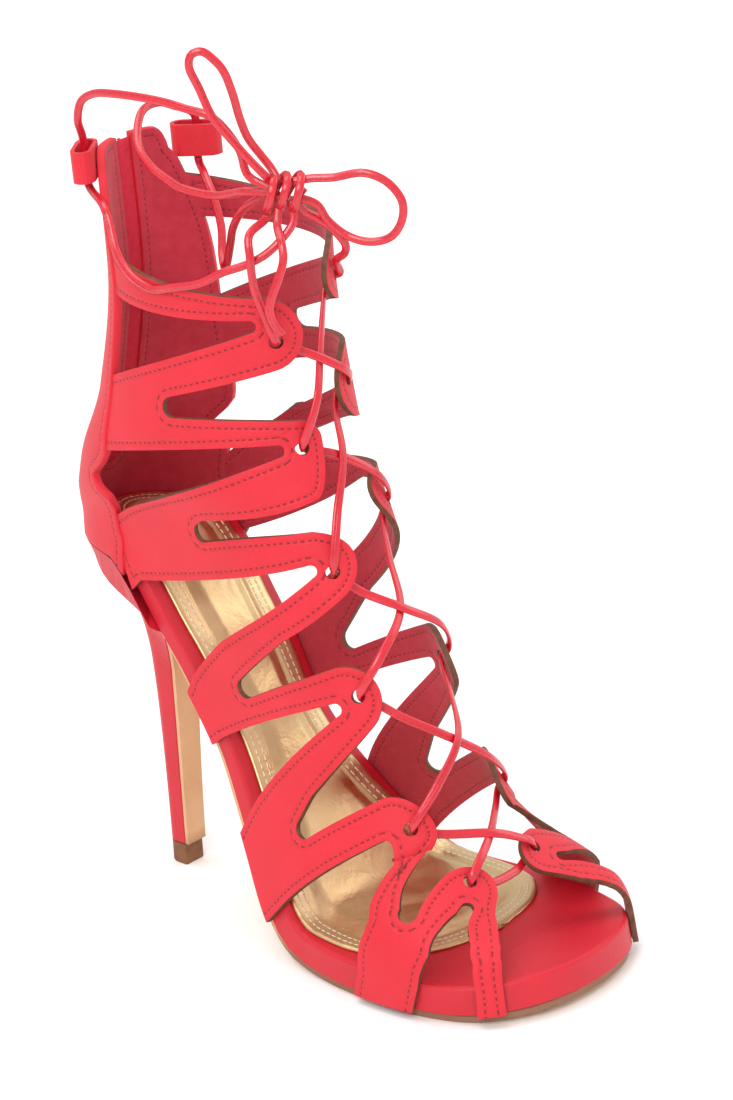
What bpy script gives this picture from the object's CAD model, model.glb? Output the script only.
import math

import bmesh
import bpy
import numpy as np
from mathutils import Matrix, Vector
from mathutils.geometry import delaunay_2d_cdt
from mathutils.kdtree import KDTree


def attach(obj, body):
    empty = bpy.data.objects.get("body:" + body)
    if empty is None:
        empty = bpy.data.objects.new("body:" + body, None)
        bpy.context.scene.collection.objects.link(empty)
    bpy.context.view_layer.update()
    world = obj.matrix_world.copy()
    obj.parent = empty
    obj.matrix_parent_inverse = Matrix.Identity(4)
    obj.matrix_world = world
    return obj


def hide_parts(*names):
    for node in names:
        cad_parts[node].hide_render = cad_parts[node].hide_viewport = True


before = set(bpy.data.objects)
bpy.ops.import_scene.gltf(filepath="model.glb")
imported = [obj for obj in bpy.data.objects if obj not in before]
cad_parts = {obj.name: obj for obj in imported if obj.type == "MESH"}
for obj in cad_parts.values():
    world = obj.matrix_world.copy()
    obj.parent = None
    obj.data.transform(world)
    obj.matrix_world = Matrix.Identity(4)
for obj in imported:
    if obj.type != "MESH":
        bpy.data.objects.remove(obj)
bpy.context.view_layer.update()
print("frame loaded")

# camera that sees the shoe as the photo does: place in metres, turns in degrees, lens in millimetres
view = {"place": (1.15095387, -1.12416997, 0.77006938), "yaw": 133.382, "pitch": -22.507,
        "roll": -3.530263, "lens": 179.547, "sensor": 36, "reach": 20}


def makeCamera():
    data = bpy.data.cameras.new("photoCamera")
    data.sensor_fit = "VERTICAL"
    data.sensor_height = view["sensor"]
    data.lens = view["lens"]
    data.clip_end = view["reach"]
    yaw, pitch, roll = (math.radians(view[k]) for k in ("yaw", "pitch", "roll"))
    ahead = Vector((math.cos(pitch) * math.cos(yaw), math.cos(pitch) * math.sin(yaw), math.sin(pitch)))
    right = ahead.cross(Vector((0, 0, 1))).normalized()
    up = right.cross(ahead)
    side = right * math.cos(roll) + up * math.sin(roll)
    top = up * math.cos(roll) - right * math.sin(roll)
    turn = Matrix((side, top, -ahead)).transposed().to_4x4()
    item = bpy.data.objects.new("photoCamera", data)
    item.matrix_world = Matrix.Translation(view["place"]) @ turn
    bpy.context.scene.collection.objects.link(item)
    bpy.context.scene.camera = item


makeCamera()


# smooth curve through table rows; it stays within them and is flat between equal values
def monotone(rows, at):
    table = np.array(rows, dtype=float)
    key, values = table[:, 0], table[:, 1:]
    step = np.diff(key)[:, None]
    slope = np.diff(values, axis=0) / step
    tangent = np.zeros_like(values)
    tangent[0] = slope[0]
    tangent[-1] = slope[-1]
    for i in range(1, len(key) - 1):
        same = slope[i - 1] * slope[i] > 0
        total = np.where(same, slope[i - 1] + slope[i], 1.0)
        tangent[i] = np.where(same, 2 * slope[i - 1] * slope[i] / total, 0.0)
    return curveAt(values, tangent, key, np.atleast_1d(np.clip(at, key[0], key[-1])))


def hermite(start, startPull, end, endPull, t):
    startPart = (2 * t**3 - 3 * t**2 + 1) * start + (t**3 - 2 * t**2 + t) * startPull
    endPart = (-2 * t**3 + 3 * t**2) * end + (t**3 - t**2) * endPull
    return startPart + endPart


# curve through pins with their tangents, at places along its key
def curveAt(pins, tangent, key, at):
    i = np.clip(np.searchsorted(key, at, side="right") - 1, 0, len(key) - 2)
    h = np.diff(key)[i][:, None]
    t = (at - key[i])[:, None] / h
    return hermite(pins[i], tangent[i] * h, pins[i + 1], tangent[i + 1] * h, t)


# rows of a table between its places, in straight steps
def between(at, key, rows):
    return np.stack([np.interp(at, key, rows[:, k]) for k in range(rows.shape[1])], axis=-1)


# length along a row of points, counted from its first one
def runAlong(points):
    return np.concatenate([[0], np.cumsum(np.linalg.norm(np.diff(points, axis=0), axis=1))])


# the last and the sole, in metres; places and heights in the tables are shares
last = {
    "planLength": 0.194, "seatSetback": 0.0235, "seatHeight": 0.121,
    "forepartHeight": 0.0122,
    "ballWidth": 0.083,
    "collarHeight": 0.246,
    "gap": 0.0003,
    "slopeStep": 0.004,
    "profileSteps": 401,
    "outlineSteps": 40,
    # place along the plan, rise
    "footbedProfile": (
        (0.000, 1.000), (0.130, 0.995), (0.270, 0.730), (0.440, 0.265), (0.580, 0.010), (0.670, 0.000),
        (0.860, 0.000), (1.000, 0.030),
    ),
    # place along the unrolled footbed, half widths of the outer and the inner side
    "soleOutline": (
        (0.000, 0.000, 0.000), (0.010, 0.102, 0.102), (0.040, 0.190, 0.190), (0.100, 0.258, 0.258),
        (0.190, 0.283, 0.278), (0.300, 0.285, 0.260), (0.420, 0.290, 0.245), (0.540, 0.370, 0.325),
        (0.660, 0.465, 0.450), (0.760, 0.500, 0.500), (0.860, 0.485, 0.500), (0.930, 0.400, 0.440),
        (0.975, 0.260, 0.310), (0.995, 0.110, 0.150), (1.000, 0.000, 0.000),
    ),
    "platformThick": (
        (0.00, 0.0060), (0.40, 0.0060), (0.70, 0.0097), (1.00, 0.0097),
    ),
    # place, end of the rib along and up, its climb in degrees, pull at its start and its end
    "ribs": (
        (-1.00, 0.495, 1.000, 0, 0.45, 0.45), (-0.65, 0.495, 0.880, 0, 0.45, 0.44),
        (-0.30, 0.503, 0.770, 12, 0.43, 0.42), (0.00, 0.520, 0.670, 36, 0.40, 0.40),
        (0.12, 0.567, 0.570, 50, 0.40, 0.40), (0.25, 0.635, 0.462, 70, 0.38, 0.40),
        (0.42, 0.718, 0.335, 88, 0.42, 0.40), (0.55, 0.765, 0.235, 90, 0.42, 0.44),
        (0.68, 0.812, 0.165, 90, 0.42, 0.52), (0.82, 0.890, 0.110, 90, 0.42, 0.65),
        (1.00, 0.980, 0.080, 90, 0.40, 0.60),
    ),
    # place, setback, rise
    "backSeam": (
        (-1.00, 0.104, 1.00), (-0.70, 0.112, 0.70), (-0.35, 0.078, 0.35), (-0.12, 0.022, 0.12),
        (0.00, 0.000, 0.00),
    ),
}


# the unrolled footbed: places on it become points of the shoe
class footbed:

    def __init__(self):
        share = np.linspace(0, 1, last["profileSteps"])
        rise = monotone(last["footbedProfile"], share)[:, 0]
        self.x = share * last["planLength"] - last["seatSetback"]
        self.z = last["forepartHeight"] + rise * (last["seatHeight"] - last["forepartHeight"])
        run = np.concatenate([[0], np.cumsum(np.hypot(np.diff(self.x), np.diff(self.z)))])
        self.length = run[-1]
        self.share = run / run[-1]
        self.dx = np.gradient(self.x, self.share)
        self.dz = np.gradient(self.z, self.share)
        loop = self.outline()
        toe = int(np.argmax(loop[:, 0]))
        self.rim = {
            -1: self.sideRim(loop[: toe + 1], -1),
            1: self.sideRim(np.concatenate([loop[:1], loop[: toe - 1: -1]]), 1),
        }

    def outline(self):
        rows = np.array(last["soleOutline"])
        outer = np.stack([rows[:, 0] * self.length, -rows[:, 1] * last["ballWidth"]], axis=1)
        inner = np.stack([rows[:, 0] * self.length, rows[:, 2] * last["ballWidth"]], axis=1)
        pins = np.concatenate([outer, inner[-2:0:-1]])
        ahead = np.roll(pins, -1, axis=0)
        gap = np.sqrt(np.linalg.norm(ahead - pins, axis=1))[:, None]
        gapBack = np.roll(gap, 1, axis=0)
        slope = (ahead - pins) / gap
        slopeBack = np.roll(slope, 1, axis=0)
        tangent = (slope * gapBack + slopeBack * gap) / (gap + gapBack)
        t = np.linspace(0, 1, last["outlineSteps"], endpoint=False)[:, None]
        parts = []
        for i in range(len(pins)):
            j = (i + 1) % len(pins)
            parts.append(hermite(pins[i], tangent[i] * gap[i], pins[j], tangent[j] * gap[i], t))
        return np.concatenate(parts)

    def sideRim(self, points, side):
        run = runAlong(points)
        tangent = np.gradient(points, run, axis=0)
        tangent /= np.linalg.norm(tangent, axis=1)[:, None]
        tangent[0] = (0, side)
        outward = np.stack([-side * tangent[:, 1], side * tangent[:, 0]], axis=1)
        return run / run[-1], points, tangent, outward

    # plan point, direction along the rim and outward direction at a place on one side
    def rimPoint(self, side, place, grow=0.0):
        share, points, tangent, outward = self.rim[side]
        plan, along, out = (between(place, share, rows) for rows in (points, tangent, outward))
        return plan + out * grow, along, out

    def directions(self, share):
        dx = np.interp(share, self.share, self.dx)
        dz = np.interp(share, self.share, self.dz)
        size = np.hypot(dx, dz)
        zero = np.zeros_like(dx)
        forward = np.stack([dx / size, zero, dz / size], axis=-1)
        up = np.stack([-dz / size, zero, dx / size], axis=-1)
        return forward, up

    # point of the shoe over the unrolled place (metres along and across)
    def point(self, along, across, up):
        share = np.clip(np.asarray(along, dtype=float) / self.length, 0, 1)
        beyond = np.asarray(along, dtype=float) - share * self.length
        forward, normal = self.directions(share)
        base = np.stack([np.interp(share, self.share, self.x), across + 0 * share,
                         np.interp(share, self.share, self.z)], axis=-1)
        return base + normal * np.asarray(up)[..., None] + forward * beyond[..., None]


def thickness(share):
    return monotone(last["platformThick"], np.atleast_1d(share))[:, 0]


bed = footbed()


# where ribs start, on the rim or the back seam: point, run, up and the sole's depth
def ribStarts(side, place):
    plan, onPlan, _ = bed.rimPoint(side, np.clip(place, 0, 1), last["gap"])
    share = plan[:, 0] / bed.length
    start = bed.point(plan[:, 0], plan[:, 1], np.zeros(len(plan)))
    forward, up = bed.directions(share)
    along = forward * onPlan[:, :1] + np.array([0, 1.0, 0]) * onPlan[:, 1:]
    depth = thickness(share)
    back = place < 0
    row = monotone(last["backSeam"], place[back])
    start[back, 0] = row[:, 0] * last["planLength"] - last["seatSetback"] - last["gap"]
    start[back, 1] = 0
    start[back, 2] = last["seatHeight"] + row[:, 1] * (last["collarHeight"] - last["seatHeight"])
    along[back] = (0, side, 0)
    return start, along, up, depth


# inner face of the upper at chart places
def surface(side, place, height):
    place = np.atleast_1d(np.asarray(place, dtype=float))
    height = np.atleast_1d(np.asarray(height, dtype=float))
    start, along, up, depth = ribStarts(side, place)
    row = monotone(last["ribs"], place)
    end = np.stack([row[:, 0] * last["planLength"] - last["seatSetback"], 0 * place,
                    row[:, 1] * last["collarHeight"]], axis=-1)
    angle = np.radians(row[:, 2])[:, None]
    chord = np.linalg.norm(end - start, axis=1)[:, None]
    near = start + (along * np.cos(angle) + up * np.sin(angle)) * chord * row[:, 3:4]
    far = end + np.array([0, side, 0]) * chord * row[:, 4:5]
    t = np.clip(height, 0, 1)[:, None]
    s = 1 - t
    point = s**3 * start + 3 * s**2 * t * near + 3 * s * t**2 * far + t**3 * end
    drop = np.clip(-height, 0, 1)[:, None]
    return point - up * depth[:, None] * drop


# point, chart-to-metres matrix, surface axes and outward normal at one chart place;
# the slope up the rib is taken on the side that doesn't cross the rim or the throat
def localFrame(side, place, height):
    step = last["slopeStep"]
    sign = -1 if -0.5 < height < 0 or height > 0.9 else 1
    here = surface(side, place, height)[0]
    byPlace = (surface(side, place + step, height)[0] - surface(side, place - step, height)[0]) / (2 * step)
    byHeight = (surface(side, place, height + sign * step)[0] - here) / (sign * step)
    first = byPlace / np.linalg.norm(byPlace)
    second = byHeight - first * (byHeight @ first)
    second /= np.linalg.norm(second)
    matrix = np.array([[byPlace @ first, byHeight @ first], [0.0, byHeight @ second]])
    return here, matrix, np.stack([first, second]), np.cross(first, second) * -side


# chart place a distance in metres from one place towards another (or away from it)
def shift(side, spot, toward, distance):
    here, matrix, axes, _ = localFrame(side, *spot)
    flat = axes @ (surface(side, *toward)[0] - here)
    step = np.linalg.inv(matrix) @ (flat / np.linalg.norm(flat) * distance)
    return spot[0] + step[0], spot[1] + step[1]


# leather of the upper: walls, radii and mesh steps in metres, arcs in degrees, and tables of chart places
upper = {
    "strapThick": 0.0018,
    "counterThick": 0.0026,
    "counterSunk": 0.00015,
    "rounding": 0.0006,
    "edgeAngle": 55,
    "eyeletRadius": 0.0021,
    "eyeletSides": 18,
    "lobeSetback": 0.0040,
    "slotRadius": 0.0032,
    "notchRadius": 0.0020,
    "collarCorner": 0.0040,
    "cornerSteps": 6,
    "cornerGap": 0.02,
    "frontSteps": 34,
    "meshStep": 0.0016,
    "edgeStep": 0.0012,
    "arcStep": 7,
    "sweepMost": 330,
    "weld": 0.00003,
    "sliver": 2e-8,
    "gridClear": 0.6,
    "runStep": 0.0005,
    "foldEnd": 0.93,
    "backSpan": 0.125,
    "rimSpan": 0.260,
    "crossSpan": 0.105,
    "flapSpan": 0.008,
    "counterFront": (
        (-1.00, 0.150), (-0.70, 0.265), (-0.35, 0.310), (-0.08, 0.365), (0.03, 0.270), (0.10, 0.140),
        (0.15, 0.000),
    ),
    "counterFlap": 0.17,
    # eyelet place and height, notch place and height, lobe radius, shift of the inner side
    "lobes": (
        (-0.420, 0.855, -0.485, 0.795, 0.0115, -0.17), (0.005, 0.900, 0.000, 0.855, 0.0105, -0.16),
        (0.180, 0.810, 0.175, 0.755, 0.0112, -0.05), (0.360, 0.680, 0.370, 0.590, 0.0112, 0.00),
        (0.570, 0.705, 0.580, 0.610, 0.0108, 0.00), (0.725, 0.815, 0.765, 0.730, 0.0090, 0.00),
    ),
    # place, height, shift of the inner side
    "slots": (
        (-0.240, 0.565, -0.14), (0.135, 0.400, -0.05), (0.330, 0.215, 0.00), (0.515, 0.245, 0.00),
        (0.740, 0.455, 0.00),
    ),
    # upper edge, lower edge, shift of the inner side
    "roots": (
        (-0.770, 0.200, -0.655, 0.200, -0.10), (-0.375, 0.250, -0.110, 0.250, -0.12),
        (0.115, 0.000, 0.190, -1.000, 0.00), (0.320, -1.000, 0.385, -1.000, 0.00),
        (0.485, -1.000, 0.585, -1.000, 0.00), (0.713, -1.000, 0.791, -1.000, 0.00),
    ),
    "toeFront": (
        (0.803, 0.800), (0.843, 0.700), (0.864, 0.600), (0.876, 0.500), (0.8845, 0.400), (0.891, 0.200),
        (0.8905, 0.000), (0.889, -1.000),
    ),
    "toeBack": (
        (0.860, -1.000), (0.862, 0.000), (0.8595, 0.200), (0.846, 0.400), (0.831, 0.500), (0.8095, 0.600),
    ),
    # pins above and below the last root
    "bends": {5: (
        ((0.775, 0.640), (0.790, 0.480), (0.806, 0.220), (0.800, 0.000)),
        ((0.7215, 0.000), (0.718, 0.200), (0.7125, 0.290), (0.679, 0.450), (0.640, 0.605)),
    )},
    "zipEnd": -0.10,
    "zipSlotHalf": 0.0032,
    "slotSteps": 20,
}


# angle that a change of radius adds to the line between two pins
def lean(change, direction):
    steepest = 0.98
    return math.asin(max(-steepest, min(steepest, change / np.linalg.norm(direction))))


# outline drawn round pins of place, height and radius; a pin passed on its right has a negative radius
def belt(side, pins):
    frames = [localFrame(side, g, h) for g, h, _ in pins]
    points = []
    for i, (g, h, radius) in enumerate(pins):
        if radius == 0:
            points.append((g, h))
            continue
        here, matrix, axes, _ = frames[i]
        coming = axes @ (here - frames[i - 1][0])
        going = axes @ (frames[i + 1][0] - here)
        start = math.atan2(coming[1], coming[0]) + lean(radius - pins[i - 1][2], coming)
        stop = math.atan2(going[1], going[0]) + lean(pins[i + 1][2] - radius, going)
        way = -1 if radius > 0 else 1
        sweep = ((stop - start) * way) % (2 * math.pi)
        # a sweep just short of a full turn only touches its pin
        if sweep > math.radians(upper["sweepMost"]):
            sweep = 0.0
        count = max(1, math.ceil(sweep / math.radians(upper["arcStep"])))
        back = np.linalg.inv(matrix)
        for k in range(count + 1):
            angle = start + way * sweep * k / count
            step = back @ (radius * np.array([-math.sin(angle), math.cos(angle)]))
            points.append((g + step[0], h + step[1]))
    return points


# chart places laid out flat, near their real size
def toSheet(points):
    points = np.array(points, dtype=float)
    flat = np.empty_like(points)
    flat[:, 0] = np.where(points[:, 0] < 0, points[:, 0] * upper["backSpan"], points[:, 0] * upper["rimSpan"])
    flat[:, 1] = np.where(points[:, 1] < 0, points[:, 1] * upper["flapSpan"],
                          points[:, 1] * upper["crossSpan"])
    return flat


def fromSheet(flat):
    points = np.empty_like(flat)
    points[:, 0] = np.where(flat[:, 0] < 0, flat[:, 0] / upper["backSpan"], flat[:, 0] / upper["rimSpan"])
    points[:, 1] = np.where(flat[:, 1] < 0, flat[:, 1] / upper["flapSpan"], flat[:, 1] / upper["crossSpan"])
    return points


# points along the straight pieces of a flat outline, none further apart than the step
def resample(loop, step, closed=True):
    loop = np.asarray(loop)
    ends = np.roll(loop, -1, axis=0) if closed else loop[1:]
    starts = loop if closed else loop[:-1]
    parts = []
    for start, end in zip(starts, ends):
        length = np.linalg.norm(end - start)
        # doubled points have no piece between them
        if length < 1e-7:
            continue
        count = max(1, math.ceil(length / step))
        parts.append(start + (end - start) * np.linspace(0, 1, count, endpoint=False)[:, None])
    if not closed:
        parts.append(loop[-1:])
    return np.concatenate(parts)


def eyeletSpot(side, row):
    lift = upper["lobes"][row][5] if side > 0 else 0.0
    return upper["lobes"][row][0] + lift, upper["lobes"][row][1]


# outline of one side's zigzag strap, in chart places
def latticeOutline(side):
    inner = 1.0 if side > 0 else 0.0
    topG, topH, _, _, lift = upper["roots"][0]
    front = [(topG + inner * lift, topH, 0)]
    notches = []
    for i, (g, h, notchG, notchH, radius, lift) in enumerate(upper["lobes"]):
        eyelet = (g + inner * lift, h)
        notch = (notchG + inner * lift, notchH)
        middle = shift(side, eyelet, notch, upper["lobeSetback"])
        front.append((*middle, radius))
        notches.append((*shift(side, notch, eyelet, -upper["notchRadius"]), -upper["notchRadius"]))
        if i < len(upper["slots"]):
            slotG, slotH, slotLift = upper["slots"][i]
            front.append((slotG + inner * slotLift, slotH, -upper["slotRadius"]))
    front += [(g, h, 0) for g, h in upper["toeFront"]]
    back = [(g, h, 0) for g, h in upper["toeBack"]]
    for i in range(len(upper["lobes"]) - 1, -1, -1):
        highG, highH, lowG, lowH, lift = upper["roots"][i]
        above, below = upper["bends"].get(i, ((), ()))
        back.append(notches[i])
        back += [(g, h, 0) for g, h in above]
        back.append((lowG + inner * lift, lowH, 0))
        if i > 0:
            back.append((highG + inner * lift, highH, 0))
        back += [(g, h, 0) for g, h in below]
    return belt(side, front + back)


# height on the rib where the zip's slot ends
def slotEdge(side, place):
    _, matrix, _, _ = localFrame(side, place, 0.0)
    return upper["zipSlotHalf"] / np.linalg.norm(matrix[:, 1])


# outline of one side's heel counter, in chart places
def counterOutline(side):
    top, second = upper["counterFront"][:2]
    corner = np.array([shift(side, top, (-1.0, 0.0), upper["collarCorner"]), top,
                       shift(side, top, second, upper["collarCorner"])])
    t = np.linspace(0, 1, upper["cornerSteps"])[:, None]
    rounded = (1 - t) ** 2 * corner[0] + 2 * t * (1 - t) * corner[1] + t**2 * corner[2]
    place = np.linspace(corner[2][0] + upper["cornerGap"], upper["counterFront"][-1][0], upper["frontSteps"])
    edge = np.stack([place, monotone(upper["counterFront"], place)[:, 0]], axis=1)
    slot = [(g, slotEdge(side, g)) for g in np.linspace(upper["zipEnd"], -1.0, upper["slotSteps"])]
    end = [(upper["counterFlap"], -1.0), (0.0, -1.0), (0.0, 0.0), (upper["zipEnd"], 0.0)]
    return np.concatenate([rounded, edge, np.array(end), np.array(slot)])


def eyeletOutline(side, row):
    spot = eyeletSpot(side, row)
    _, matrix, _, _ = localFrame(side, *spot)
    angle = np.linspace(0, 2 * math.pi, upper["eyeletSides"], endpoint=False)
    ring = np.stack([np.cos(angle), np.sin(angle)], axis=1) * upper["eyeletRadius"]
    return ring @ np.linalg.inv(matrix).T + np.array(spot)


# which flat points lie within a flat outline
def inside(loop, points):
    result = np.zeros(len(points), dtype=bool)
    ahead = np.roll(loop, -1, axis=0)
    for (ax, ay), (bx, by) in zip(loop, ahead):
        crosses = (ay > points[:, 1]) != (by > points[:, 1])
        run = np.where(by == ay, 1.0, by - ay)
        x = ax + (points[:, 1] - ay) * (bx - ax) / run
        result ^= crosses & (points[:, 0] < x)
    return result


# keeper loops at the collar: place, height and the leather behind each;
# above and below are the shares of a loop's height between which a tie runs straight
keeper = {
    "places": {-1: (-0.965, 0.130, 0.0026), 1: (-0.950, 0.240, 0.0022)},
    "halfShort": 0.0035,
    "tall": 0.0100,
    "above": 0.75,
    "below": 0.70,
}


# middle of a keeper loop and its directions: along the counter, outwards, up
def keeperFrame(side):
    place, height, wall = keeper["places"][side]
    here, _, axes, normal = localFrame(side, place, height)
    up = -axes[0]
    along = np.cross(up, normal)
    middle = here + normal * (wall + last["gap"] + keeper["halfShort"])
    return middle, [along, normal, up]


# cross-section and steps of the laces and of the zip tape
ribbon = {"sides": 14, "squareness": 0.75, "step": 0.0011, "fineSteps": 60, "fewest": 6}


# evenly spaced points and facing directions on a smooth curve through the route
def ribbonPath(route, facing, step):
    route = np.array(route, dtype=float)
    facing = np.array(facing, dtype=float)
    gap = np.sqrt(np.linalg.norm(np.diff(route, axis=0), axis=1))
    key = np.concatenate([[0], np.cumsum(gap)])
    tangent = np.gradient(route, key, axis=0)
    fine = np.linspace(0, key[-1], ribbon["fineSteps"] * len(route))
    curve = curveAt(route, tangent, key, fine)
    run = runAlong(curve)
    even = np.linspace(0, run[-1], max(ribbon["fewest"], int(run[-1] / step)))
    points = between(even, run, curve)
    face = between(even, run, between(fine, key, facing))
    along = np.gradient(points, axis=0)
    along /= np.linalg.norm(along, axis=1)[:, None]
    face -= along * np.sum(face * along, axis=1)[:, None]
    return points, along, face / np.linalg.norm(face, axis=1)[:, None], even


# a ring is extruded from point to point; run and across keep the stitches on the lace
def ribbonMesh(name, route, facing, mat, wide, thick, step=ribbon["step"]):
    points, along, face, run = ribbonPath(route, facing, step)
    work = bmesh.new()
    bmesh.ops.create_circle(work, cap_ends=False, radius=1.0, segments=ribbon["sides"])
    turn = work.verts.layers.float.new("turn")
    runLayer = work.verts.layers.float.new("run")
    acrossLayer = work.verts.layers.float.new("across")
    for vert in work.verts:
        vert[turn] = math.atan2(vert.co.y, vert.co.x)
    edges = list(work.edges)
    first = edges
    for i, (p, a, f, r) in enumerate(zip(points, along, face, run)):
        if i > 0:
            grown = bmesh.ops.extrude_edge_only(work, edges=edges)["geom"]
            edges = [g for g in grown if isinstance(g, bmesh.types.BMEdge)]
        side = np.cross(a, f)
        for vert in {v for e in edges for v in e.verts}:
            c, s = math.cos(vert[turn]), math.sin(vert[turn])
            x = math.copysign(abs(c) ** ribbon["squareness"], c)
            y = math.copysign(abs(s) ** ribbon["squareness"], s)
            vert.co = Vector(tuple(p + side * x * wide / 2 + f * y * thick / 2))
            vert[runLayer] = r
            vert[acrossLayer] = x if s >= 0 else 2 - x
    bmesh.ops.contextual_create(work, geom=first)
    bmesh.ops.contextual_create(work, geom=edges)
    bmesh.ops.recalc_face_normals(work, faces=work.faces)
    return finishPiece(name, work, [mat])


def finishPiece(name, work, mats, smooth=True):
    mesh = bpy.data.meshes.new(name)
    work.to_mesh(mesh)
    work.free()
    if smooth:
        mesh.shade_smooth()
    for mat in mats:
        mesh.materials.append(mat)
    item = bpy.data.objects.new(name, mesh)
    bpy.context.scene.collection.objects.link(item)
    return item


def toLinear(hexColor):
    parts = [int(hexColor[i:i + 2], 16) / 255 for i in (1, 3, 5)]
    return tuple(c / 12.92 if c <= 0.04045 else ((c + 0.055) / 1.055) ** 2.4 for c in parts) + (1.0,)


# adds one node with its settings, its values and its links
def addNode(tree, kind, settings=None, values=None, links=None):
    node = tree.nodes.new("ShaderNode" + kind)
    for key, value in (settings or {}).items():
        setattr(node, key, value)
    for key, value in (values or {}).items():
        node.inputs[key].default_value = value
    for key, source in (links or {}).items():
        tree.links.new(source, node.inputs[key])
    return node


def newMaterial(name, hexColor, roughness, **extra):
    mat = bpy.data.materials.new(name)
    mat.use_nodes = True
    tree = mat.node_tree
    shader = tree.nodes["Principled BSDF"]
    shader.inputs["Base Color"].default_value = toLinear(hexColor)
    shader.inputs["Roughness"].default_value = roughness
    for key, value in extra.items():
        shader.inputs[key].default_value = value
    return mat, tree, shader


# grain of two sizes in millimetres: mottles the colour and raises a fine bump in metres
def grainLook(tree, shader, broadGrain, fineGrain, bump, darkHex, lightHex, extraHeight=None, tint=None):
    place = addNode(tree, "TexCoord")
    fine = addNode(tree, "TexNoise", values={"Scale": 1000 / fineGrain, "Detail": 3.0},
                   links={"Vector": place.outputs["Object"]})
    broad = addNode(tree, "TexNoise", values={"Scale": 1000 / broadGrain, "Detail": 4.0},
                    links={"Vector": place.outputs["Object"]})
    blend = addNode(tree, "Math", {"operation": "MULTIPLY_ADD"}, {1: 0.35},
                    {0: fine.outputs["Fac"], 2: broad.outputs["Fac"]})
    share = addNode(tree, "MapRange", values={"From Min": 0.45, "From Max": 0.9},
                    links={"Value": blend.outputs[0]})
    mix = addNode(tree, "Mix", {"data_type": "RGBA"}, {6: toLinear(darkHex), 7: toLinear(lightHex)},
                  {0: share.outputs[0]})
    colour = mix.outputs[2]
    if tint is not None:
        factor, hexColor = tint
        over = addNode(tree, "Mix", {"data_type": "RGBA"}, {7: toLinear(hexColor)}, {0: factor, 6: colour})
        colour = over.outputs[2]
    tree.links.new(colour, shader.inputs["Base Color"])
    height = fine.outputs["Fac"]
    if extraHeight is not None:
        height = addNode(tree, "Math", {"operation": "ADD"}, links={0: height, 1: extraHeight}).outputs[0]
    raised = addNode(tree, "Bump", values={"Strength": 1.0, "Distance": bump}, links={"Height": height})
    tree.links.new(raised.outputs["Normal"], shader.inputs["Normal"])


# a thread's soft borders, as shares of its half width; the ends of its stitches, as a share of the pitch
threadShape = {"full": 0.6, "gone": 1.25, "furrowFull": 0.8, "furrowGone": 3.2, "endFade": 0.06}


# dashes along a line that lies at one distance: 1 on the thread, 0 off it, and the wider furrow round it
def stitchMask(tree, awayName, runName, away, half, pitch, dash):
    distance = addNode(tree, "Attribute", {"attribute_name": awayName})
    run = addNode(tree, "Attribute", {"attribute_name": runName})
    off = addNode(tree, "Math", {"operation": "SUBTRACT"}, {1: away}, {0: distance.outputs["Fac"]})
    size = addNode(tree, "Math", {"operation": "ABSOLUTE"}, links={0: off.outputs[0]})
    band = addNode(tree, "MapRange", {"interpolation_type": "SMOOTHSTEP"},
                   {"From Min": half * threadShape["gone"], "From Max": half * threadShape["full"]},
                   {"Value": size.outputs[0]})
    turns = addNode(tree, "Math", {"operation": "DIVIDE"}, {1: pitch}, {0: run.outputs["Fac"]})
    part = addNode(tree, "Math", {"operation": "FRACT"}, links={0: turns.outputs[0]})
    middle = addNode(tree, "Math", {"operation": "SUBTRACT"}, {1: 0.5}, {0: part.outputs[0]})
    reach = addNode(tree, "Math", {"operation": "ABSOLUTE"}, links={0: middle.outputs[0]})
    dashes = addNode(tree, "MapRange", {"interpolation_type": "SMOOTHSTEP"},
                     {"From Min": dash / 2 + threadShape["endFade"],
                      "From Max": dash / 2 - threadShape["endFade"]}, {"Value": reach.outputs[0]})
    thread = addNode(tree, "Math", {"operation": "MULTIPLY"},
                     links={0: band.outputs[0], 1: dashes.outputs[0]})
    furrow = addNode(tree, "MapRange", {"interpolation_type": "SMOOTHSTEP"},
                     {"From Min": half * threadShape["furrowGone"],
                      "From Max": half * threadShape["furrowFull"]}, {"Value": size.outputs[0]})
    return thread.outputs[0], furrow.outputs[0]


colours = {
    "leather": ("#cb1226", "#d4192d"), "leatherStitch": "#8a0414",
    "lining": ("#b8283a", "#c23244"), "liningStitch": "#8a1424",
    "edge": ("#55301f", "#74482f"), "wrap": ("#bf0c22", "#c91329"),
    "sole": ("#c8966c", "#d8ae84"), "soleEdge": "#8a6248",
    "gold": ("#d2ae78", "#ecd3a6"), "goldStitch": "#efe2c4",
    "tip": ("#6a3f22", "#86552f"), "lace": ("#c20c22", "#ce162c"), "laceStitch": "#9a0a1c",
    "tape": ("#c21c34", "#d22a42"), "steel": ("#aaa49a", "#c4beb4"),
}

# rows of thread: distance from the edge, half width and pitch in metres, share of the pitch that shows;
# the lace's distance and half width are shares of its half width
stitches = {
    "leather": (0.0024, 0.00030, 0.0021, 0.50),
    "lining": (0.0024, 0.00026, 0.0021, 0.50),
    "goldOuter": (0.0028, 0.0003, 0.0024, 0.66),
    "goldInner": (0.0052, 0.0003, 0.0024, 0.66),
    "lace": (0.35, 0.10, 0.0024, 0.6),
}

# crumples and worn grain of the foil in millimetres, its roughness, and the bump in metres
foil = {"crumple": 11.765, "grain": 0.909, "smooth": 0.34, "rough": 0.52, "bump": 0.0006}

# heights between which the sole's ink fades, and how far its face may look down
soleInk = {"full": 0.004, "none": 0.012, "downFrom": -0.7, "downTo": -0.4}


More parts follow.
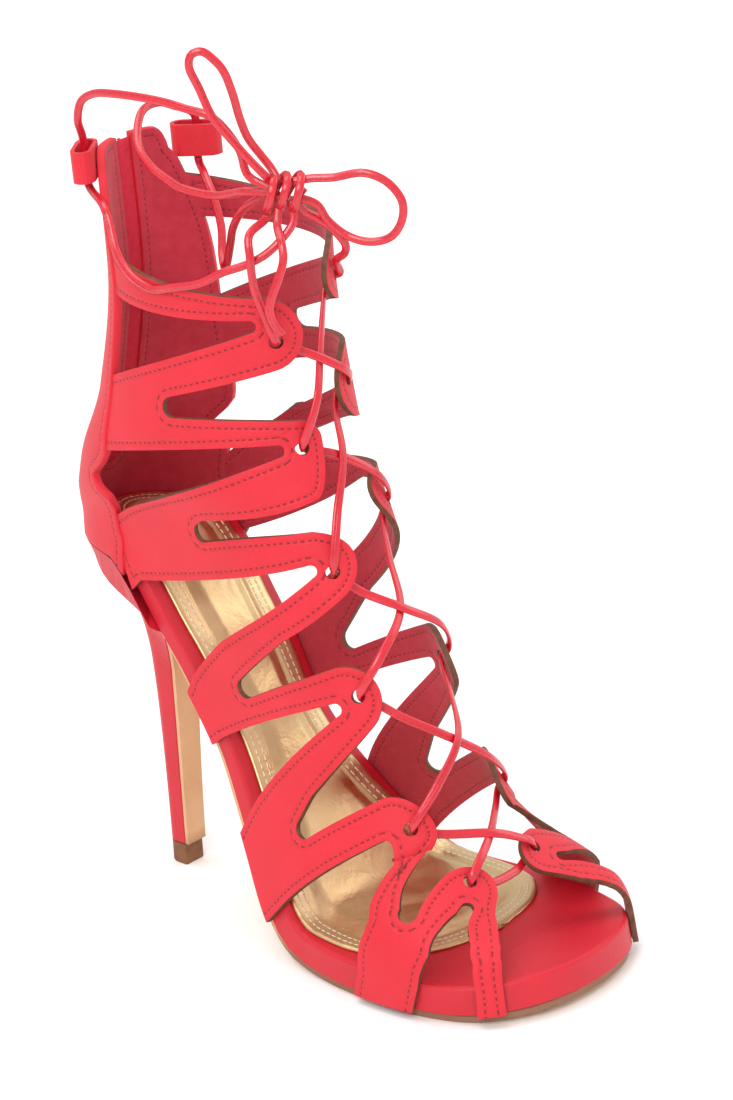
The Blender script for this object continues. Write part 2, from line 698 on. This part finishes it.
# leather with a row of thread near its edge: the stitches rise out of a furrow in its grain
def stitchedMaterial(name, key, roughness, layers, grains, threadUp, furrowDown, **extra):
    mat, tree, shader = newMaterial(name, colours[key][0], roughness, **extra)
    thread, furrow = stitchMask(tree, *layers, *stitches[key])
    sunk = addNode(tree, "Math", {"operation": "MULTIPLY"}, {1: -furrowDown}, {0: furrow})
    lift = addNode(tree, "Math", {"operation": "MULTIPLY_ADD"}, {1: threadUp},
                   {0: thread, 2: sunk.outputs[0]})
    grainLook(tree, shader, *grains, *colours[key], lift.outputs[0], (thread, colours[key + "Stitch"]))
    return mat


# one even finish: two grains in millimetres and a bump in metres
def plainGrain(name, key, roughness, broad, fine, bump, **extra):
    mat, tree, shader = newMaterial(name, colours[key][0], roughness, **extra)
    grainLook(tree, shader, broad, fine, bump, *colours[key])
    return mat


# gold foil on thin leather: metal gloss, soft crumples and a worn fine grain
def goldMaterial():
    mat, tree, shader = newMaterial("goldFoilLeather", colours["gold"][0], 0.3, Metallic=1.0)
    place = addNode(tree, "TexCoord")
    crumple = addNode(tree, "TexNoise", links={"Vector": place.outputs["Object"]},
                      values={"Scale": 1000 / foil["crumple"], "Detail": 3.0, "Distortion": 0.6})
    fine = addNode(tree, "TexVoronoi", values={"Scale": 1000 / foil["grain"]},
                   links={"Vector": place.outputs["Object"]})
    outerRow, _ = stitchMask(tree, "edgeAway", "edgeRun", *stitches["goldOuter"])
    innerRow, _ = stitchMask(tree, "edgeAway", "edgeRun", *stitches["goldInner"])
    thread = addNode(tree, "Math", {"operation": "MAXIMUM"}, links={0: outerRow, 1: innerRow})
    mix = addNode(tree, "Mix", {"data_type": "RGBA"},
                  {6: toLinear(colours["gold"][0]), 7: toLinear(colours["gold"][1])},
                  {0: crumple.outputs["Fac"]})
    over = addNode(tree, "Mix", {"data_type": "RGBA"}, {7: toLinear(colours["goldStitch"])},
                   {0: thread.outputs[0], 6: mix.outputs[2]})
    tree.links.new(over.outputs[2], shader.inputs["Base Color"])
    bare = addNode(tree, "Math", {"operation": "SUBTRACT"}, {0: 1.0}, {1: thread.outputs[0]})
    tree.links.new(bare.outputs[0], shader.inputs["Metallic"])
    rough = addNode(tree, "MapRange", links={"Value": crumple.outputs["Fac"]},
                    values={"From Min": 0.3, "From Max": 0.75, "To Min": foil["smooth"],
                            "To Max": foil["rough"]})
    tree.links.new(rough.outputs[0], shader.inputs["Roughness"])
    small = addNode(tree, "Math", {"operation": "MULTIPLY_ADD"}, {1: 0.06},
                    {0: fine.outputs["Distance"], 2: crumple.outputs["Fac"]})
    lift = addNode(tree, "Math", {"operation": "MULTIPLY_ADD"}, {1: 0.35},
                   {0: thread.outputs[0], 2: small.outputs[0]})
    raised = addNode(tree, "Bump", values={"Strength": 1.0, "Distance": foil["bump"]},
                     links={"Height": lift.outputs[0]})
    tree.links.new(raised.outputs["Normal"], shader.inputs["Normal"])
    return mat


# smooth tan leather board; its cut edge is inked brown round the forepart, near the floor
def soleMaterial():
    mat, tree, shader = newMaterial("tanSoleLeather", colours["sole"][0], 0.55)
    place = addNode(tree, "TexCoord")
    height = addNode(tree, "SeparateXYZ", links={"Vector": place.outputs["Object"]})
    facing = addNode(tree, "SeparateXYZ", links={"Vector": place.outputs["Normal"]})
    low = addNode(tree, "MapRange", values={"From Min": soleInk["none"], "From Max": soleInk["full"]},
                  links={"Value": height.outputs["Z"]})
    side = addNode(tree, "MapRange", values={"From Min": soleInk["downFrom"], "From Max": soleInk["downTo"]},
                   links={"Value": facing.outputs["Z"]})
    inked = addNode(tree, "Math", {"operation": "MULTIPLY"}, links={0: low.outputs[0], 1: side.outputs[0]})
    grainLook(tree, shader, 18, 0.7, 0.00008, *colours["sole"], None, (inked.outputs[0], colours["soleEdge"]))
    return mat


mats = {
    # matte synthetic nubuck: an even red with a faint fine grain and a sunk row of thread
    "leather": stitchedMaterial("softRedLeather", "leather", 0.62, ("edgeAway", "edgeRun"),
                                (22, 0.5, 0.00012), 1.4, 1.6, **{"Sheen Weight": 0.05}),
    # brushed microfibre lining: a muted darker red with a nap, and the same row of thread
    "lining": stitchedMaterial("microfibreLining", "lining", 0.92, ("edgeAway", "edgeRun"),
                               (3.5, 0.6, 0.00016), 0.0, 1.0, **{"Sheen Weight": 0.2}),
    # raw cut edge inked dark brown: a dull line round every strap
    "edge": plainGrain("inkedEdge", "edge", 0.7, 2.5, 0.4, 0.0001),
    # the same red leather pulled tight over heel and platform: smoother and a little glossier
    "wrap": plainGrain("redWrapLeather", "wrap", 0.5, 25, 0.5, 0.00006),
    "sole": soleMaterial(),
    "gold": goldMaterial(),
    # dense brown rubber, moulded: dull and lightly scuffed
    "tip": plainGrain("brownTipRubber", "tip", 0.6, 4, 0.5, 0.0001),
    # folded strip of coated leather: glossy, with small thread dashes near one edge
    "lace": stitchedMaterial("glossyLaceLeather", "lace", 0.3, ("across", "run"), (8, 0.8, 0.0001),
                             0.0, 1.0, **{"Coat Weight": 0.45, "Coat Roughness": 0.12}),
    # woven polyester tape: matte, with a fine thread grain
    "tape": plainGrain("zipTape", "tape", 0.85, 2, 0.35, 0.00012),
    # moulded nylon coil: small glossy beads in the tape's colour
    "teeth": plainGrain("coilTeethNylon", "tape", 0.35, 6, 0.8, 0.00004),
    # polished plated zinc: bright, with fine rubbed marks
    "steel": plainGrain("platedZinc", "steel", 0.24, 3, 0.25, 0.00003, Metallic=1.0),
}
print("materials made")


def rideOn(item, slotName, *nodes):
    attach(item, "shoe")
    if nodes:
        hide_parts(*nodes)
    return item


# flat lace between the eyelets; stops are shares of the way to the throat, with how proud the lace lies
lace = {
    "wide": 0.0028,
    "thick": 0.0013,
    "slack": 0.0003,
    "barShift": 0.022,
    "barDip": 0.0005,
    "slouch": (0.0, 0.0005, 0.001, 0.0015, 0.002),
    "outsideStops": ((0.5, 0.0008), (0.10, 0.0)),
    "insideStops": ((0.10, 0.0), (0.45, -0.0008)),
    "turnShare": 0.2,
    "throatRise": 0.4,
    "crossRise": 0.6,
    "eyeletRise": 0.0012,
}
outFace = upper["strapThick"]
inFace = -(last["gap"] + lace["slack"] + lace["thick"] / 2)

# bow: its frame, knot and the routes of its cords in millimetres (right, up, out of the frame);
# a route starts and ends inside the knot where it meets it
bow = {
    "middle": (0.074, -0.003, 0.238),
    "turn": 43.4,
    "knotMiddle": (-5.5, 5.0, 0.0),
    "knotRadius": 5.2,
    "knotTurns": 3,
    "knotPitch": 4.1,
    "knotSlant": 2.4,
    "knotSteps": 10,
    "knotTuck": (0.55, 0.15),
    "knotSway": 0.1,
    "knotDepth": 0.85,
    "tilt": 0.25,
    "narrow": 0.92,
    "swell": 1.35,
    "routes": {
        "bow_tall": (
            (-8.5, 8, 0), (-11.3, 12.0, 2), (-15, 16.5, 2), (-20, 23, 1.5), (-25, 30, 1), (-28.5, 39, 0),
            (-31, 46, 0), (-30, 49.5, 0), (-27, 50.3, 0), (-23.5, 47.5, 0), (-21, 44, 0),
            (-18.7, 36.5, -1), (-17, 28, -2), (-15, 21.5, -3), (-11.5, 16, -3), (-8.8, 12.2, -2),
            (-6.5, 8, 0),
        ),
        "bow_wide": (
            (-3, 8, 0), (2.6, 8.9, 0.3), (9.5, 9, 1), (18.8, 10.5, 3), (25.5, 7.5, 4), (29.6, 1.6, 5),
            (29.2, -4.6, 5), (25.6, -9.8, 4), (19.6, -11.3, 3), (12.9, -9.7, 1), (7, -4.5, 0),
            (4.2, 0.5, 0), (-1, 3, 0),
        ),
        "lace_outer": (
            (-11.5, -37, 8.6), (-13.3, -31.4, 8.6), (-16, -22, 9), (-16.7, -11.5, 9.5), (-16.5, -5.5, 7),
            (-10.9, -2.1, 1.2), (-8.4, 4, 0.5),
        ),
        "lace_inner": (
            (9, -20.5, -9), (11.5, -18, -7), (12, -14.5, -5), (8.5, -9, -4), (4.5, -5.5, -4),
            (-0.3, -1.5, -1.7), (-1.5, 2, -1),
        ),
        "lace_end": (
            (-7, 2.5, 1), (-8, -3.8, 4), (-7, -8, 9), (-6.8, -12.5, 11), (-8.8, -18.5, 12),
            (-11, -23.5, 12.5), (-12, -28, 12.5), (-10.5, -33, 12), (-8.5, -36, 12),
        ),
    },
    # down to a keeper loop, and from it back to the knot
    "ties": {
        "tie_outer": (
            (
                (-9.2, 6, -1), (-15.8, 10, -3), (-18, 18, -4), (-25, 28, -4.5), (-33.5, 30.5, -8),
                (-40.5, 31.2, -14), (-54, 30.5, -26), (-61.5, 28.5, -34), (-65.5, 25, -38),
                (-67, 19, -40),
            ),
            (
                (-60.8, -6.5, -30.5), (-59.2, -11, -27), (-57.5, -18.5, -22), (-53.5, -24, -16.2),
                (-47.3, -26.5, -9.8), (-40, -24, -3), (-32.3, -21.3, 2.5), (-25.4, -17.5, 5),
                (-18.1, -15.1, 6), (-12.2, -12.3, 6), (-7.5, -8.6, 5), (-3.2, -3.4, 3), (-3.5, 3, 1),
            ),
        ),
        "tie_inner": (
            (
                (-9.5, 4.6, -1.5), (-17, 4.5, -4), (-20.5, 2.9, -8), (-26.6, 0.5, -14), (-36.9, 1, -22),
                (-40.6, 2, -27), (-45, 4, -33), (-49, 7.5, -42), (-49.4, 12, -48), (-47.5, 16, -54),
                (-43, 16.5, -59), (-38.5, 14, -63),
            ),
            (
                (-30.2, -7.2, -58), (-27.3, -13.6, -50), (-25.8, -20.5, -44), (-26, -27, -38),
                (-25.5, -29.3, -34), (-24.7, -27.3, -30), (-23, -18.9, -24), (-21.5, -11, -18),
                (-18, -3.9, -13), (-14, -0.5, -10), (-11, 1.5, -8.5), (-7.5, 4.5, -2.5),
            ),
        ),
    },
}


# middle of the throat and the way out from it
def throatMiddle(place):
    nearThroat = 0.99
    outer = localFrame(-1, place, nearThroat)[3]
    inner = localFrame(1, place, nearThroat)[3]
    normal = outer + inner
    return surface(1, place, 1.0)[0], normal / np.linalg.norm(normal)


# point of the shoe for a place in the bow's frame
def bowPoint(spot):
    turn = math.radians(bow["turn"])
    right = np.array([math.cos(turn), math.sin(turn), 0.0])
    toward = np.array([math.sin(turn), -math.cos(turn), 0.0])
    millimetre = 0.001
    spot = np.array(spot) * millimetre
    return np.array(bow["middle"]) + right * spot[0] + np.array([0, 0, spot[1]]) + toward * spot[2]


def bowRoute(name):
    return [bowPoint(p) for p in bow["routes"][name]]


# slanting turns round the knot's middle, drawn in at both ends
def knotRoute():
    steps = bow["knotSteps"] * bow["knotTurns"]
    ends, gain = bow["knotTuck"]
    route = []
    for i in range(steps + 1):
        angle = 2 * math.pi * i / bow["knotSteps"] - math.pi / 2
        along = bow["knotPitch"] * (i / bow["knotSteps"] - bow["knotTurns"] / 2)
        along += bow["knotSlant"] * math.cos(angle)
        tuck = min(1.0, ends + gain * min(i, steps - i))
        radius = bow["knotRadius"] * (1 + bow["knotSway"] * math.sin(angle / 2)) * tuck
        route.append(bowPoint((bow["knotMiddle"][0] + along, bow["knotMiddle"][1] + radius * math.cos(angle),
                               bow["knotMiddle"][2] + radius * math.sin(angle) * bow["knotDepth"])))
    return route


# from the knot, down through a keeper loop and back
def tieRoute(side, name):
    before, after = bow["ties"][name]
    middle, axes = keeperFrame(side)
    through = [middle + axes[2] * keeper["above"] * keeper["tall"], middle,
               middle - axes[2] * keeper["below"] * keeper["tall"]]
    return [bowPoint(p) for p in before] + through + [bowPoint(p) for p in after]


# one cord of the bow: flat lace along its route, turned to face out of the bow's frame
def bowCord(name, route):
    turn = math.radians(bow["turn"])
    facing = [np.array([math.sin(turn), -math.cos(turn), bow["tilt"]])] * len(route)
    item = ribbonMesh(name + "Lace", route, facing, mats["lace"], lace["wide"] * bow["narrow"],
                      lace["thick"] * bow["swell"])
    path = ribbonPath(route, facing, ribbon["step"])[0]
    rideOn(item, "red_lace", name)


# middle of an eyelet, a distance out from the leather's inner face and towards the throat
def eyeletPoint(side, row, out, share=0.0, crossPlace=None):
    g, h = eyeletSpot(side, row)
    crossPlace = g if crossPlace is None else crossPlace
    here, _, _, normal = localFrame(side, g + (crossPlace - g) * share, h + (1.0 - h) * share)
    return here + normal * out, normal


# out of a top eyelet and up to the knot
def topRoute(side, name):
    return [eyeletPoint(side, 0, out)[0] for out in (0.0, outFace + lace["eyeletRise"])] + bowRoute(name)


bowCord("lace_knot", knotRoute())
bowCord("bow_tall", bowRoute("bow_tall"))
bowCord("bow_wide", bowRoute("bow_wide"))
bowCord("lace_outer", topRoute(-1, "lace_outer"))
bowCord("lace_inner", topRoute(1, "lace_inner"))
bowCord("lace_end", bowRoute("lace_end"))
bowCord("tie_outer", tieRoute(-1, "tie_outer"))
bowCord("tie_inner", tieRoute(1, "tie_inner"))
print("bow and cords made")


# one strand from a top eyelet down: in through each eyelet, across the throat,
# and onto the other side's next lobe
def laceStrand(name, side, lift, nodes):
    bottom = len(upper["lobes"]) - 1
    route = []
    facing = []
    flip = 1.0
    for row in range(bottom + 1):
        if row > 0:
            for share, proud in lace["outsideStops"]:
                point, normal = eyeletPoint(side, row, outFace - inFace + proud, share, crossPlace)
                route.append(point)
                facing.append(normal * flip)
        point, normal = eyeletPoint(side, row, outFace / 2)
        toThroat = eyeletPoint(side, row, outFace / 2, lace["turnShare"])[0] - point
        route.append(point)
        facing.append(toThroat / np.linalg.norm(toThroat) * -flip)
        flip = -flip
        if row == bottom:
            break
        around = [eyeletSpot(a, b)[0] for a in (-1, 1) for b in (row, row + 1)]
        crossPlace = sum(around) / len(around)
        for share, proud in lace["insideStops"]:
            point, normal = eyeletPoint(side, row, inFace + proud, share, crossPlace)
            route.append(point)
            facing.append(normal * flip)
        middle, normal = throatMiddle(crossPlace)
        rise = lace["throatRise"] * outFace + lace["slouch"][row] + lift * lace["crossRise"] * lace["thick"]
        route.append(middle + normal * rise)
        facing.append(normal * flip)
        side = -side
    item = ribbonMesh(name, route, facing, mats["lace"], lace["wide"], lace["thick"])
    return rideOn(item, "red_lace", *nodes)


# the lace's middle runs inside from one bottom eyelet to the other
def laceBottom():
    row = len(upper["lobes"]) - 1
    stops = ((0.0, outFace / 2), (0.10, inFace), (0.6, inFace - lace["barDip"]))
    route = []
    facing = []
    for side, places in ((-1, stops), (1, stops[::-1])):
        for share, out in places:
            point, normal = eyeletPoint(side, row, out, share, eyeletSpot(side, row)[0] + lace["barShift"])
            route.append(point)
            facing.append(normal)
    item = ribbonMesh("laceBottom", route, facing, mats["lace"], lace["wide"], lace["thick"])
    return rideOn(item, "red_lace", "lace_bar")


laceStrand("laceFromOuter", -1, 1, ("lace_cross_1", "lace_cross_3", "lace_cross_5"))
laceStrand("laceFromInner", 1, -1, ("lace_cross_2", "lace_cross_4"))
laceBottom()
print("lace run through the eyelets")


# finds the nearest of some points, and says its number
def nearestTree(points, numbers):
    tree = KDTree(len(points))
    for p, number in zip(points, numbers):
        tree.insert((p[0], p[1], p[2] if len(p) == 3 else 0.0), int(number))
    tree.balance()
    return tree


# chart places and triangles of one side within its outline, with the eyelets left open
def sheetSide(side, outlineOf, holes):
    outline = resample(toSheet(outlineOf(side)), upper["edgeStep"])
    rings = [toSheet(eyeletOutline(side, row)) for row in range(holes)]
    fold = resample(toSheet([(0.0, 0.0), (upper["foldEnd"], 0.0)]), upper["edgeStep"], closed=False)
    low, high = outline.min(axis=0), outline.max(axis=0)
    step = upper["meshStep"]
    gridX, gridY = np.meshgrid(np.arange(low[0], high[0], step), np.arange(low[1], high[1], step))
    grid = np.stack([gridX.ravel(), gridY.ravel()], axis=1)
    grid = grid[inside(outline, grid)]
    lined = np.concatenate([outline, fold] + rings)
    tree = nearestTree(lined, range(len(lined)))
    grid = [p for p in grid if tree.find((p[0], p[1], 0))[2] > upper["gridClear"] * step]
    verts, edges = [], []
    for loop in [outline] + rings:
        base = len(verts)
        verts += [tuple(p) for p in loop]
        edges += [(base + i, base + (i + 1) % len(loop)) for i in range(len(loop))]
    base = len(verts)
    verts += [tuple(p) for p in fold]
    edges += [(base + i, base + i + 1) for i in range(len(fold) - 1)]
    verts += [tuple(p) for p in grid]
    result = delaunay_2d_cdt([Vector(v) for v in verts], edges, [], 0, 1e-6)
    flat = np.array([tuple(v) for v in result[0]])
    faces = np.array([f for f in result[2] if len(f) == 3])
    middle = flat[faces].mean(axis=1)
    first = flat[faces[:, 1]] - flat[faces[:, 0]]
    second = flat[faces[:, 2]] - flat[faces[:, 0]]
    doubleArea = np.abs(first[:, 0] * second[:, 1] - first[:, 1] * second[:, 0])
    # slivers along a straight edge would turn the wall sideways
    keep = inside(outline, middle) & (doubleArea > upper["sliver"])
    for loop in rings:
        keep &= ~inside(loop, middle)
    used = np.unique(faces[keep])
    lookup = np.zeros(len(flat), dtype=int)
    lookup[used] = np.arange(len(used))
    return fromSheet(flat[used]), lookup[faces[keep]]


# finds the nearest point of the edge that shows, and the run along the edge in metres
def edgeTree(side, outlineOf):
    chart = fromSheet(resample(toSheet(outlineOf(side)), upper["runStep"]))
    points = surface(side, chart[:, 0], chart[:, 1])
    run = runAlong(points)
    # the flap under the sole and the seam below the zip don't show
    place, height = chart[:, 0], chart[:, 1]
    hidden = (height < -0.97) | ((place > upper["zipEnd"]) & (place < 0.001) & (height <= 0))
    shown = np.nonzero(~hidden)[0]
    return nearestTree(points[shown], shown), run


# leather sheet with a lining inside and its own rim, from the chart outline of each side
def leatherPiece(name, outlineOf, holes, thick, sunk, rim):
    work = bmesh.new()
    away = work.verts.layers.float.new("edgeAway")
    edgeRun = work.verts.layers.float.new("edgeRun")
    for side in (-1, 1):
        chart, faces = sheetSide(side, outlineOf, holes)
        points = surface(side, chart[:, 0], chart[:, 1])
        tree, run = edgeTree(side, outlineOf)
        made = []
        for p in points:
            vert = work.verts.new(p)
            _, nearest, distance = tree.find(vert.co)
            vert[away] = distance
            vert[edgeRun] = run[nearest]
            made.append(vert)
        for face in faces:
            a, b, c = face if side < 0 else face[::-1]
            work.faces.new((made[a], made[b], made[c]))
    bmesh.ops.remove_doubles(work, verts=work.verts, dist=upper["weld"])
    work.normal_update()
    if sunk:
        for vert in work.verts:
            vert.co -= vert.normal * sunk
    item = finishPiece(name, work, [mats["leather"], mats["lining"], mats[rim]])
    wall = item.modifiers.new("wall", "SOLIDIFY")
    wall.thickness = thick + sunk
    wall.offset = 1.0
    wall.material_offset = 1
    wall.material_offset_rim = 2
    soft = item.modifiers.new("roundedEdge", "BEVEL")
    soft.width = upper["rounding"]
    soft.segments = 2
    soft.limit_method = "ANGLE"
    soft.angle_limit = math.radians(upper["edgeAngle"])
    return item


rideOn(leatherPiece("strapLattice", latticeOutline, len(upper["lobes"]), upper["strapThick"], 0.0, "edge"),
       "red_suede", "upper")
rideOn(leatherPiece("heelCounter", counterOutline, 0, upper["counterThick"], upper["counterSunk"],
                    "leather"), "red_suede", "upper")
print("straps and counter made")


# gold sock: sizes in metres, and the steps of its grid and its edge
sock = {"inset": 0.0049, "keptTo": 0.130, "end": 0.2095, "rows": 190, "columns": 56, "edgeSteps": 900,
        "thick": 0.0010, "rise": 0.0013, "padFrom": 0.0082, "padTo": 0.0125,
        "groove": 0.0005, "grooveShift": 0.0006, "grooveWide": 0.0007, "lipDrop": 0.0004, "lipWide": 0.0012}


# a bordered sheet with a padded middle that stands a little proud behind a groove
def goldSock():
    at = np.linspace(0, 1, sock["edgeSteps"])
    limit = bed.rimPoint(1, np.array([1.0]), -sock["inset"])[0][0, 0]
    start = bed.rimPoint(1, np.array([0.0]), -sock["inset"])[0][0, 0]

    def edgePlan(side):
        plan = bed.rimPoint(side, at, -sock["inset"])[0]
        plan[:, 0] = np.interp(plan[:, 0], (start, sock["keptTo"], limit),
                               (start, sock["keptTo"], sock["end"]))
        return plan

    plans = {side: edgePlan(side) for side in (-1, 1)}
    loop = np.concatenate([plans[-1], plans[1][::-1]])
    run = runAlong(loop)
    tree = nearestTree(loop, range(len(loop)))
    work = bmesh.new()
    bmesh.ops.create_grid(work, x_segments=sock["rows"], y_segments=sock["columns"], size=1.0)
    away = work.verts.layers.float.new("edgeAway")
    edgeRun = work.verts.layers.float.new("edgeRun")
    width = {}
    for side in (-1, 1):
        order = np.argsort(plans[side][:, 0])
        width[side] = (plans[side][order, 0], np.abs(plans[side][order, 1]))
    for vert in work.verts:
        along = start + (sock["end"] - start) * (0.5 - 0.5 * math.cos(math.pi * (vert.co.x + 1) / 2))
        outer, inner = (float(np.interp(along, *width[side])) for side in (-1, 1))
        across = -outer + (inner + outer) * (vert.co.y + 1) / 2
        _, nearest, distance = tree.find((along, across, 0))
        share = min(1, max(0, (distance - sock["padFrom"]) / (sock["padTo"] - sock["padFrom"])))
        pad = share * share * (3 - 2 * share) * sock["rise"]
        fromGroove = (distance - sock["padFrom"] + sock["grooveShift"]) / sock["grooveWide"]
        pad -= sock["groove"] * math.exp(-fromGroove ** 2)
        pad -= sock["lipDrop"] * max(0, 1 - distance / sock["lipWide"])
        vert.co = Vector(tuple(bed.point(along, across, last["gap"] + sock["thick"] + pad)))
        vert[away] = distance
        vert[edgeRun] = run[nearest]
    # the grid narrows to a point at both ends
    bmesh.ops.remove_doubles(work, verts=work.verts, dist=0.00002)
    item = finishPiece("goldSock", work, [mats["gold"]])
    wall = item.modifiers.new("wall", "SOLIDIFY")
    wall.thickness = sock["thick"]
    wall.offset = -1.0
    return rideOn(item, "gold_foil", "insole")


goldSock()
print("gold sock made")

# zip down the back seam: its tape and teeth in metres, start as a chart place
zipLook = {"start": -0.988, "endGap": 0.004, "steps": 121, "tapeEvery": 6, "tapeStep": 0.002,
           "tapeWide": 0.0066, "tapeThick": 0.0007, "tapeOut": 0.0007,
           "pitch": 0.00105, "tooth": (0.00075, 0.00034, 0.00055), "toothOut": 0.0016, "toothShift": 0.00042}


# points of the back seam and the way outwards, in the middle plane
def seamLine(start, end, count):
    place = np.linspace(start, end, count)
    points = surface(1, place, np.zeros(count))
    tangent = np.gradient(points, axis=0)
    tangent /= np.linalg.norm(tangent, axis=1)[:, None]
    return points, np.stack([tangent[:, 2], 0 * place, -tangent[:, 0]], axis=1)


# woven tape in the back slot, and small nylon teeth that stand left and right in turn
def zipPieces():
    points, out = seamLine(zipLook["start"], upper["zipEnd"] - zipLook["endGap"], zipLook["steps"])
    picked = slice(None, None, zipLook["tapeEvery"])
    tape = ribbonMesh("zipTape", points[picked] + out[picked] * zipLook["tapeOut"], out[picked], mats["tape"],
                      zipLook["tapeWide"], zipLook["tapeThick"], zipLook["tapeStep"])
    rideOn(tape, "red_tape", "zip")
    count = int(runAlong(points)[-1] / zipLook["pitch"])
    work = bmesh.new()
    for i, place in enumerate(np.linspace(0, len(points) - 1, count)):
        k = min(int(place), len(points) - 2)
        part = place - k
        middle = points[k] * (1 - part) + points[k + 1] * part
        down = points[k + 1] - points[k]
        down = down / np.linalg.norm(down)
        side = 1 if i % 2 else -1
        axes = Matrix((Vector((0, 1, 0)), Vector(down), Vector(out[k]))).transposed().to_4x4()
        spot = middle + out[k] * zipLook["toothOut"] + np.array([0, side * zipLook["toothShift"], 0])
        bmesh.ops.create_icosphere(work, subdivisions=1, radius=1.0,
                                   matrix=Matrix.Translation(Vector(tuple(spot))) @ axes
                                   @ Matrix.Diagonal((*zipLook["tooth"], 1.0)))
    rideOn(finishPiece("zipTeeth", work, [mats["teeth"]]), "red_tape", "zip")


zipPieces()
print("zip made")

# the solids that stay as they are, with their finishes
solidLooks = {"platform": "wrap", "heel": "wrap", "outsole": "sole", "top_piece": "tip",
              "loop_outer": "leather", "loop_inner": "leather", "zip_slider": "steel", "zip_pull": "steel"}
for node, mat in solidLooks.items():
    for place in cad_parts[node].material_slots:
        place.material = mats[mat]
print("solids dressed")

# colours, strengths and sizes of the studio; the lamps look at the shoe's middle
studio = {"floor": "#fbfaf9", "floorHalf": 6.0, "floorGrain": 16.67, "world": "#ffffff", "worldStrength": 0.8,
          "aim": (0.07, 0, 0.12)}
# place, size and power
lamps = {
    "keyLamp": ((1.0, -1.7, 1.6), 1.2, 28),
    "fillLamp": ((0.9, 1.5, 1.3), 1.6, 11),
    "topLamp": ((-0.4, -0.3, 2.2), 1.6, 20),
}


# matte painted floor: near white, with a faint roller grain
def paleFloor():
    work = bmesh.new()
    bmesh.ops.create_grid(work, x_segments=1, y_segments=1, size=studio["floorHalf"])
    mat, tree, shader = newMaterial("paleFloor", studio["floor"], 0.55)
    place = addNode(tree, "TexCoord")
    grain = addNode(tree, "TexNoise", values={"Scale": 1000 / studio["floorGrain"]},
                    links={"Vector": place.outputs["Object"]})
    raised = addNode(tree, "Bump", values={"Strength": 0.2, "Distance": 0.0001},
                     links={"Height": grain.outputs["Fac"]})
    tree.links.new(raised.outputs["Normal"], shader.inputs["Normal"])
    finishPiece("paleFloor", work, [mat], False)


def softLight():
    world = bpy.data.worlds.new("softWhite")
    world.use_nodes = True
    backdrop = world.node_tree.nodes["Background"]
    backdrop.inputs["Color"].default_value = toLinear(studio["world"])
    backdrop.inputs["Strength"].default_value = studio["worldStrength"]
    bpy.context.scene.world = world
    bpy.context.scene.view_settings.view_transform = "Standard"
    for name, (place, size, power) in lamps.items():
        data = bpy.data.lights.new(name, "AREA")
        data.shape = "DISK"
        data.size = size
        data.energy = power
        lamp = bpy.data.objects.new(name, data)
        lamp.location = place
        lamp.rotation_euler = (Vector(studio["aim"]) - Vector(place)).to_track_quat("-Z", "Y").to_euler()
        bpy.context.scene.collection.objects.link(lamp)


paleFloor()
softLight()
print("studio made")
